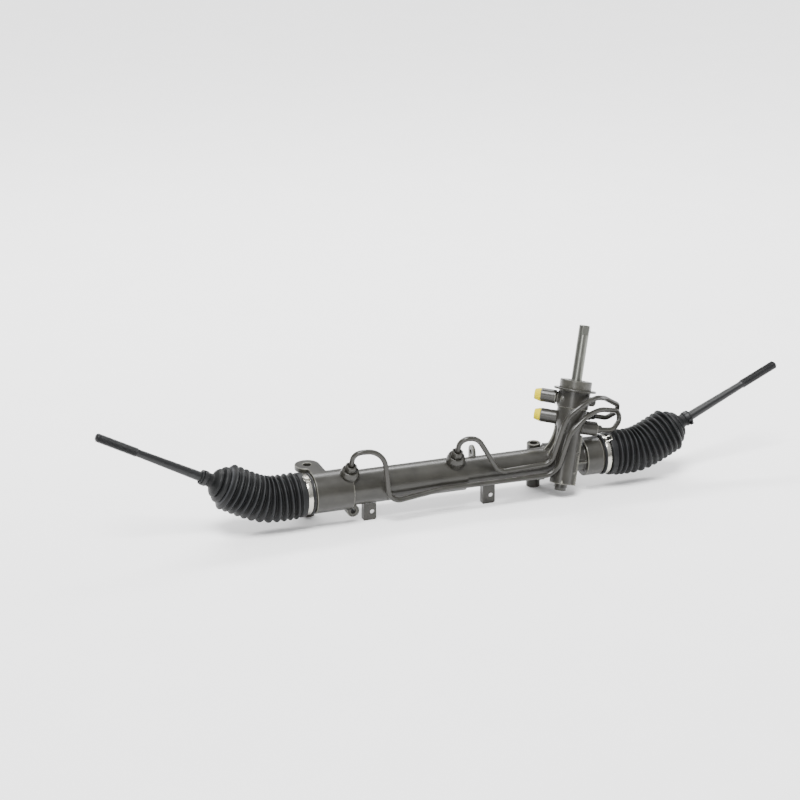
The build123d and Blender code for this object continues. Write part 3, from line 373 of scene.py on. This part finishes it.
flange = eased([(flange_foot, opening_r), (flange_foot, flange_r - chamfer),
                (flange_foot + chamfer, flange_r), (flange_top - chamfer, flange_r),
                (flange_top, flange_r - chamfer), (flange_top, opening_r)], 0.4)
piece("flange_disc", turned("flange_disc", pinion_at, pinion_along, flange, closed=True), tube_paint,
      "housing", "tube_paint", "seal_flange")
cap = eased([(flange_top, opening_r), (flange_top, cap_r), (cap_top - 0.9, cap_r), (cap_top, cap_r - 0.9),
             (cap_top, 14.5), (cap_top - 1.0, 13.6), (cap_top - 1.0, 11.5), (cap_top - 0.2, 10.6),
             (cap_top - 0.2, opening_r)], 0.35)
piece("cap_turned", turned("cap_turned", pinion_at, pinion_along, cap, closed=True), cast_paint,
      "housing", "cast_housing", "top_cap")


def steel(name, colour, roughness, grain_size, stretch, scratch):
    """Bare steel: fine lay of the tool along one direction, and a slight change of tone."""
    material, tree, shader = finish(name, roughness, metallic=1.0)
    place = add(tree, "ShaderNodeTexCoord")
    lay = add(tree, "ShaderNodeMapping", {"Scale": stretch}, {"Vector": place.outputs["Object"]})
    lines = add(tree, "ShaderNodeTexNoise", {"Scale": 1 / (grain_size * mm), "Detail": 3.0},
                {"Vector": lay.outputs["Vector"]})
    cloud = add(tree, "ShaderNodeTexNoise", {"Scale": 1 / (12 * mm), "Detail": 3.0},
                {"Vector": place.outputs["Object"]})
    darker = tuple(0.8 * c for c in linear(colour)[:3]) + (1.0,)
    tone = add(tree, "ShaderNodeMixRGB", {"Color1": linear(colour), "Color2": darker},
               {"Fac": cloud.outputs["Fac"]})
    tree.links.new(tone.outputs["Color"], shader.inputs["Base Color"])
    gloss = add(tree, "ShaderNodeMapRange", {"To Min": roughness - 0.04, "To Max": roughness + 0.05},
                {"Value": lines.outputs["Fac"]})
    tree.links.new(gloss.outputs["Result"], shader.inputs["Roughness"])
    bump = add(tree, "ShaderNodeBump", {"Strength": scratch, "Distance": 0.02 * mm},
               {"Height": lines.outputs["Fac"]})
    tree.links.new(bump.outputs["Normal"], shader.inputs["Normal"])
    return material


# Ground bar: an even grey sheen drawn out along the shaft, with a bright streak left of its middle.
ground_steel = steel("ground_bar_steel", "#7b7c76", 0.32, 6.0, (1, 1, 0.12), 0.0)


def flatted(radius, angle, distance):
    """Shaft's radius where the milled flat cuts it: no further than the flat's plane."""
    first, second = square_to(pinion_along)
    toward = np.arctan2(front @ second, front @ first)
    turn = np.cos(angle - toward)
    limit = (shaft_r - flat_depth) / np.maximum(turn, 1e-3)
    cut = (distance > shaft_top - flat_length) & (turn > 0)
    return np.where(cut, np.minimum(radius, limit), radius * np.ones_like(angle))


shaft = eased([(shaft_foot, 0), (shaft_foot, shaft_neck_r), (cap_top + 1, shaft_neck_r),
               (cap_top + 1, shaft_r), (shaft_top - flat_length - 0.02, shaft_r),
               (shaft_top - flat_length + 0.02, shaft_r), (shaft_top - 1, shaft_r), (shaft_top, shaft_r - 1),
               (shaft_top, 5.2), (shaft_top - 1.2, 4.6), (shaft_top - 1.2, 0)], 0.25)
piece("shaft_ground", turned("shaft_ground", pinion_at, pinion_along, shaft, sides=128, shape=flatted),
      ground_steel, "input", "bright_steel", "input_shaft")

# ---- plugs in the two hose ports ---------------------------------------------------------------
# Soft polyethylene shipping plugs, injection moulded in yellow: a tapered head with a hollow end,
# pushed by hand into the threaded ports.

# Yellow polyethylene: a waxy bloom that scatters the highlight and a slight change of tone.
plug_yellow, tree, shader = finish("moulded_yellow_polyethylene", 0.5, Specular_IOR_Level=0.15)
place = add(tree, "ShaderNodeTexCoord")
bloom = add(tree, "ShaderNodeTexNoise", {"Scale": 1 / (6 * mm), "Detail": 2.0},
            {"Vector": place.outputs["Object"]})
tone = add(tree, "ShaderNodeMixRGB", {"Color1": linear("#b8a800"), "Color2": linear("#c4b400")},
           {"Fac": bloom.outputs["Fac"]})
tree.links.new(tone.outputs["Color"], shader.inputs["Base Color"])
bump = add(tree, "ShaderNodeBump", {"Strength": 0.2, "Distance": 0.05 * mm}, {"Height": bloom.outputs["Fac"]})
tree.links.new(bump.outputs["Normal"], shader.inputs["Normal"])
plug_r, plug_tip_r, plug_length = 10.3, 8.0, 10.0
stem_r, stem_length, hollow_depth = 5.9, 6.0, 3.5
for name, height, length in (("low", 66.4, 48.0), ("high", 97.7, 52.0)):
    out = -to_side * np.cos(radians(30)) - front * np.sin(radians(30))
    centre = pinion_at + pinion_along * height
    tip = length + plug_length
    profile = eased([(length - stem_length, 0), (length - stem_length, stem_r), (length, stem_r),
                     (length, plug_r), (length + 1.8, plug_r), (tip, plug_tip_r), (tip, plug_tip_r - 2),
                     (tip - hollow_depth, plug_tip_r - 2.6), (tip - hollow_depth, 0)], 0.6)
    piece(name + "_plug_moulded", turned(name + "_plug_moulded", centre, out, profile), plug_yellow,
          name + "_plug", "yellow_plastic", name + "_port_plug")

# ---- bellows -----------------------------------------------------------------------------------
# Blow-moulded rubber: a lip and a smooth collar on the housing, twelve round folds, two steps and
# a neck on the rod. Each is three matched sections: a collar, an elbow and a neck.

# Black rubber: valleys painted near-black as painted shade, and crests painted a lighter grey as a
# painted highlight along the lit ridges.
rubber, tree, shader = finish("blow_moulded_black_rubber", 0.62, Specular_IOR_Level=0.22)
place = add(tree, "ShaderNodeTexCoord")
cloud = add(tree, "ShaderNodeTexNoise", {"Scale": 1 / (20 * mm), "Detail": 6.0, "Roughness": 0.65},
            {"Vector": place.outputs["Object"]})
tone = add(tree, "ShaderNodeMixRGB", {"Color1": linear("#060707"), "Color2": linear("#0c0d0e")},
           {"Fac": cloud.outputs["Fac"]})
bend = add(tree, "ShaderNodeNewGeometry")
# Crests painted a lighter grey: a painted highlight on the ridges.
crest = add(tree, "ShaderNodeMapRange", {"From Min": 0.51, "From Max": 0.57},
            {"Value": bend.outputs["Pointiness"]})
crest_highlight = add(tree, "ShaderNodeMixRGB", {"Color2": linear("#292a2c")},
             {"Fac": crest.outputs["Result"], "Color1": tone.outputs["Color"]})
# Valleys painted darker: painted shade between the folds.
hollow = add(tree, "ShaderNodeMapRange", {"From Min": 0.44, "From Max": 0.51, "To Min": 0.15},
             {"Value": bend.outputs["Pointiness"]})
shaded = add(tree, "ShaderNodeMixRGB", {"Fac": 1.0},
             {"Color1": crest_highlight.outputs["Color"], "Color2": hollow.outputs["Result"]}, blend_type="MULTIPLY")
tree.links.new(shaded.outputs["Color"], shader.inputs["Base Color"])
gloss = add(tree, "ShaderNodeMapRange", {"To Min": 0.42, "To Max": 0.60}, {"Value": cloud.outputs["Fac"]})
tree.links.new(gloss.outputs["Result"], shader.inputs["Roughness"])
matt = add(tree, "ShaderNodeTexNoise", {"Scale": 1 / (0.9 * mm), "Detail": 2.0},
           {"Vector": place.outputs["Object"]})
bump = add(tree, "ShaderNodeBump", {"Strength": 0.25, "Distance": 0.05 * mm}, {"Height": matt.outputs["Fac"]})
tree.links.new(bump.outputs["Normal"], shader.inputs["Normal"])

folds, folds_share = 12, 0.84
crest_r, valley_r, wall = 36.4, 31.2, 1.8
lip_end, lip_bore_r = -22.0, 28.1
collar_folds = 9
bellows_start, bend_reach, bellows_sag = 15.0, 88.0, 6.0
neck_r, neck_end, neck_bore_r, neck_rim = 10.3, 106.0, 7.95, 1.1
band_at = {"left": 243.0, "right": 253.0}
ball_at = {side: at(side + "_rod_lift")[0] for side in ("left", "right")}
mounts = {mount["name"]: mount for mount in frame["record"]["mounts"]}
rod_along = {side: np.array(mounts[side + "_tie_rod_end"]["axis"]) for side in ("left", "right")}


def fold_wave(turns):
    """Height of the folds, 0 in a valley and 1 on a crest: a raised cosine to the power 0.8, which
    leaves broad rounded crests and narrow valleys."""
    return (0.5 - 0.5 * np.cos(2 * pi * turns)) ** 0.8


def bellows_grid(side, profile, sides=112):
    """Profile of (distance, radius) pairs carried along the bellows' centre line: straight from the
    housing, then a cubic Bezier curve with both inner points at the ball, lowered by six times the sag
    times t squared times (1 - t) squared, then straight along the rod."""
    out = np.array([-1.0 if side == "left" else 1.0, 0, 0])
    start = np.array([out[0] * (band_at[side] + bellows_start), rack_y, axis_z])
    end = ball_at[side] + rod_along[side] * bend_reach
    t = np.linspace(0, 1, 400)[:, None]
    sag = 6 * t**2 * (1 - t) ** 2 * np.array([0, 0, bellows_sag])
    curve = (1 - t) ** 3 * start + 3 * t * (1 - t) * ball_at[side] + t**3 * end - sag
    line = np.vstack([start - out * 40, curve, end + rod_along[side] * 40])
    length = np.concatenate([[0], np.cumsum(np.linalg.norm(np.diff(line, axis=0), axis=1))]) - 40
    tangent = np.gradient(line, length, axis=0)
    tangent /= np.linalg.norm(tangent, axis=1, keepdims=True)
    distance, radius = np.array(profile, float).T
    centre = np.stack([np.interp(distance, length, line[:, k]) for k in range(3)], -1)
    ahead = np.stack([np.interp(distance, length, tangent[:, k]) for k in range(3)], -1)
    ahead /= np.linalg.norm(ahead, axis=1, keepdims=True)
    across = np.cross(out, rod_along[side])
    across /= np.linalg.norm(across)
    up = np.cross(ahead, across)
    angle = np.linspace(0, 2 * pi, sides, endpoint=False)[None, :, None]
    around = np.cos(angle) * across + np.sin(angle) * up[:, None]
    return centre[:, None] + radius[:, None, None] * around, length[-2]


for side in ("left", "right"):
    spine = bellows_grid(side, [(0, 1), (1, 1)])[1]
    folds_end = folds_share * spine
    pitch = folds_end / folds
    s = np.linspace(0, folds_end, folds * 18 + 1)
    wave = np.stack([s, valley_r + (crest_r - valley_r) * fold_wave(s / pitch)], -1)
    lip = eased([(lip_end, lip_bore_r), (lip_end, 32.3), (-19, 32.3), (-19, 30.2), (-10, 30.2), (-10, 34.5),
                 (-1.6, 34.5), (0, valley_r)], 0.7)
    rest = spine - folds_end
    neck_stop = spine + neck_end - bend_reach
    ring = np.array([(0.07, 26.8), (0.16, 28.6), (0.34, 28.2), (0.43, 26.4)])
    dome = np.array([(0.47, 20.9), (0.55, 22.7), (0.70, 22.0), (0.83, 18.6), (0.93, 14.0)])
    shoulders = np.vstack([ring, dome]) * (rest, 1) + (folds_end, 0)
    steps = eased([(folds_end, valley_r), *shoulders, (spine, neck_r + 0.7), (spine + 7, neck_r),
                   (spine + 7.6, neck_r + neck_rim), (spine + 8.6, neck_r + neck_rim),
                   (spine + 9.0, neck_r), (spine + 15.2, neck_r), (spine + 15.8, neck_r + neck_rim),
                   (neck_stop, neck_r + neck_rim), (neck_stop, neck_bore_r)], 0.7)
    cuts = (collar_folds * pitch, folds_end)
    inner_wave = wave - (0, wall)
    inner_lip = np.array([(lip_end, lip_bore_r), (-6, lip_bore_r), (-5.5, lip_bore_r + 0.4)])
    inner_steps = np.array([(folds_end + 0.06 * rest, 25.0), (folds_end + 0.25 * rest, 25.0),
                            (folds_end + 0.4 * rest, 19.0), (spine, 8.0), (neck_stop, neck_bore_r)])
    first = s <= cuts[0] + 1e-6
    last = s >= cuts[0] - 1e-6
    sections = (
        ("collar", np.vstack([lip[1:-1], wave[first], inner_wave[first][::-1], inner_lip[::-1]])),
        ("elbow", np.vstack([wave[last], inner_wave[last][::-1]])),
        ("neck", np.vstack([wave[-1:], steps[1:], inner_steps[::-1][1:], inner_wave[-1:]])),
    )
    out = -1.0 if side == "left" else 1.0
    rims = {cut: bellows_grid(side, [(cut, valley_r)])[0][0] for cut in (*cuts, spine)}
    seat_along = np.array([rod_along[side][0], 0, rod_along[side][2]])
    seat_along /= np.linalg.norm(seat_along)
    ball = ball_at[side]
    slide_from = np.array([out * (band_at[side] + 4.5), rack_y, axis_z])
    slide_to = np.array([out * (np.abs(rims[cuts[0]][:, 0]).min() + 8), rack_y, axis_z])
    lift = [ball + seat_along * ((rims[cut] - ball) @ seat_along).mean() for cut in cuts]
    swing = [ball + rod_along[side] * ((rims[cut] - ball) @ rod_along[side]).mean()
             for cut in (cuts[1], spine)]
    blends = (
        ("housing", "rack", slide_from, slide_to),
        ("rack", side + "_seat", *lift),
        (side + "_seat", side + "_rod", *swing),
    )
    for (part, profile), (inner_body, outer_body, start, end) in zip(sections, blends):
        grid, _ = bellows_grid(side, profile)
        name = side + "_bellows_" + part
        piece(name, skin_of(name, grid, closed_rows=True), rubber, inner_body, "rubber", side + "_bellows",
              blend=(outer_body, start * mm, end * mm))

# ---- band clamps on the collars ------------------------------------------------------------------
# Stainless strip pulled tight round the rubber: a slightly crowned band with its tail folded back
# through a stamped buckle.

# Stainless strip: the brightest thing on the rack, a sharp white streak on the shoulder of the band.
stainless = steel("polished_stainless_strip", "#bdbbb2", 0.22, 0.9, (1, 1, 1), 0.15)
band_r, band_width, band_thick = 30.3, 7.8, 1.0
groove = band_r - 0.05
band_edge, band_shoulder = band_width / 2, band_width / 4
crown = eased([(-band_edge, groove), (-band_edge, band_r + 0.7), (-band_shoulder, band_r + band_thick),
               (band_shoulder, band_r + band_thick), (band_edge, band_r + 0.7), (band_edge, groove),
               (-band_edge, groove)], 0.3)
buckle_turn = 115.0
tail_from, tail_to, tail_width = 4.4, 13.0, 4.6
loop_u, loop_v, loop_out, loop_up, loop_rise = 4.0, 5.4, 2.4, 3.9, 0.36
loop_square, wire_r = 0.45, 0.7


def wrapped(centre, radius, turn, along, height, across):
    """Points laid on a ring about the x direction: along it in millimetres from an angle, above it,
    and across it."""
    angle = radians(turn) + along / radius
    rim = radius + height
    place = np.stack(np.broadcast_arrays(across, rim * np.cos(angle), rim * np.sin(angle)), -1)
    return np.array(centre, float) + place


def strip(centre, radius, turn, start, end, width, low, high, rows=24):
    """Flat strip wrapped on a ring, its ends closed: a rounded oblong section carried along the arc."""
    section = eased([(-width / 2, low), (-width / 2, high), (width / 2, high), (width / 2, low),
                     (-width / 2, low)], 0.25)[:-1]
    along = np.concatenate([[start], np.linspace(start, end, rows), [end]])[:, None]
    shrink = np.ones(len(along))[:, None]
    shrink[0] = shrink[-1] = 0
    across = section[None, :, 0] * shrink
    height = (low + high) / 2 + (section[None, :, 1] - (low + high) / 2) * shrink
    return wrapped(centre, radius, turn, along, height, across)


for side in ("left", "right"):
    out = -1.0 if side == "left" else 1.0
    centre = (out * band_at[side], rack_y, axis_z)
    band = turned(side + "_band_strip", centre, (1, 0, 0), crown[1:], sides=160, closed=True)
    piece(side + "_band_strip", band, stainless, "housing", "band_steel", side + "_band_clamp")
    tail = strip(centre, band_r, buckle_turn, tail_from, tail_to, tail_width, 1.02, 1.5)
    piece(side + "_band_tail", skin_of(side + "_band_tail", tail), stainless, "housing", "band_steel")
    corner = np.linspace(0, 2 * pi, 48, endpoint=False)
    u = loop_u * np.sign(np.cos(corner)) * np.abs(np.cos(corner)) ** loop_square
    v = loop_v * np.sign(np.sin(corner)) * np.abs(np.sin(corner)) ** loop_square
    wire = np.linspace(0, 2 * pi, 12, endpoint=False)
    swell = 1 + 0.75 * np.cos(wire)[None] / np.hypot(u, v)[:, None]
    lie = v[:, None] * swell
    height = loop_up + loop_rise * lie + wire_r * np.sin(wire)[None]
    buckle = wrapped(centre, band_r, buckle_turn, u[:, None] * swell, height, out * (loop_out + lie))
    piece(side + "_band_buckle", skin_of(side + "_band_buckle", buckle, closed_rows=True), stainless,
          "housing", "band_steel")

# ---- tie rods ----------------------------------------------------------------------------------
# Forged steel, phosphated black: a ball at the inner end, a tapered shank, and a rolled M14 thread
# on which the outer joint screws.

# Phosphate: a dry blue-black with fine crystals that break up the highlight.
phosphate, tree, shader = finish("black_phosphated_steel", 0.42, metallic=0.15, Specular_IOR_Level=0.4)
place = add(tree, "ShaderNodeTexCoord")
cloud = add(tree, "ShaderNodeTexNoise", {"Scale": 1 / (8 * mm), "Detail": 6.0, "Roughness": 0.6},
            {"Vector": place.outputs["Object"]})
tone = add(tree, "ShaderNodeMixRGB", {"Color1": linear("#0a0b0c"), "Color2": linear("#161718")},
           {"Fac": cloud.outputs["Fac"]})
tree.links.new(tone.outputs["Color"], shader.inputs["Base Color"])
crystal = add(tree, "ShaderNodeTexNoise", {"Scale": 1 / (0.7 * mm), "Detail": 3.0},
              {"Vector": place.outputs["Object"]})
bump = add(tree, "ShaderNodeBump", {"Strength": 0.3, "Distance": 0.04 * mm},
           {"Height": crystal.outputs["Fac"]})
tree.links.new(bump.outputs["Normal"], shader.inputs["Normal"])

rod_length, thread_length, thread_r, thread_pitch, thread_depth = 281.0, 65.0, 7.0, 2.0, 1.1
thread_from = rod_length - 2 - thread_length
ball_r = 13.5
ball_arc = np.linspace(pi, radians(28.8), 28)
ball = ball_r * np.stack([np.cos(ball_arc), np.sin(ball_arc)], -1)


def threaded(radius, angle, distance):
    """Radius under a rolled thread: a rounded ridge that advances one pitch in each turn and fades
    in over its first turn."""
    ridge = 0.5 + 0.5 * np.cos(2 * pi * (distance - thread_from) / thread_pitch - angle)
    depth = thread_depth * np.clip((distance - thread_from) / thread_pitch, 0, 1)
    return np.where(distance > thread_from, np.minimum(radius, thread_r) - depth * (1 - ridge), radius)


shank = eased([(11.8, 6.5), (24, 6.5), (88, 7.5), (106, 7.5), (thread_from - 3, 5.9),
               (thread_from, 6.6)], 1.5)
turns = np.arange(thread_from, rod_length - 2, thread_pitch / 8)
screw = np.stack([turns, np.full_like(turns, thread_r)], -1)
tip = [(rod_length - 2, thread_r - 0.3), (rod_length, thread_r - 2), (rod_length, 0)]
profile = np.vstack([ball, shank[1:], screw, tip])
for side in ("left", "right"):
    rod = turned(side + "_rod_forged", ball_at[side], rod_along[side], profile, sides=48, shape=threaded)
    piece(side + "_rod_forged", rod, phosphate, side + "_rod", "dark_steel", side + "_tie_rod")

# ---- inner pieces --------------------------------------------------------------------------------
# Everything inside keeps its CAD shape: turned and ground steel, nitrile seals and nylon bushes. The
# spring clips on the rods keep theirs too.

# Turned steel shows the fine rings of the tool; the spring clips on the rods are darker and plainer.
machined = steel("turned_alloy_steel", "#9c9c99", 0.33, 0.8, (0.15, 1, 1), 0.3)


def moulded(name, dark, light, roughness):
    """Moulded rubber or nylon: a faint cloud of tone and a fine matt skin."""
    material, tree, shader = finish(name, roughness)
    place = add(tree, "ShaderNodeTexCoord")
    cloud = add(tree, "ShaderNodeTexNoise", {"Scale": 1 / (5 * mm), "Detail": 4.0},
                {"Vector": place.outputs["Object"]})
    tone = add(tree, "ShaderNodeMixRGB", {"Color1": linear(dark), "Color2": linear(light)},
               {"Fac": cloud.outputs["Fac"]})
    tree.links.new(tone.outputs["Color"], shader.inputs["Base Color"])
    bump = add(tree, "ShaderNodeBump", {"Strength": 0.2, "Distance": 0.03 * mm},
               {"Height": cloud.outputs["Fac"]})
    tree.links.new(bump.outputs["Normal"], shader.inputs["Normal"])
    return material


spring_steel = steel("blackened_spring_steel", "#4a4a48", 0.36, 0.8, (1, 1, 1), 0.1)
# Nitrile is a dull near-black; nylon is the warm off-white of the undyed plastic.
nitrile = moulded("moulded_nitrile", "#161617", "#222224", 0.55)
nylon = moulded("moulded_natural_nylon", "#cfc9b4", "#ddd8c6", 0.5)
slot_finish = {"seal_rubber": nitrile, "nylon": nylon, "bright_steel": machined, "dark_steel": phosphate,
               "tube_paint": tube_paint, "cast_housing": cast_paint, "band_steel": spring_steel,
               "rubber": rubber, "yellow_plastic": plug_yellow}
for subpart in frame["record"]["subparts"]:
    node = frame["nodes"][subpart["node"]]
    if subpart["material_slot"] in slot_finish and not node.hide_render:
        node.data.materials.clear()
        node.data.materials.append(slot_finish[subpart["material_slot"]])
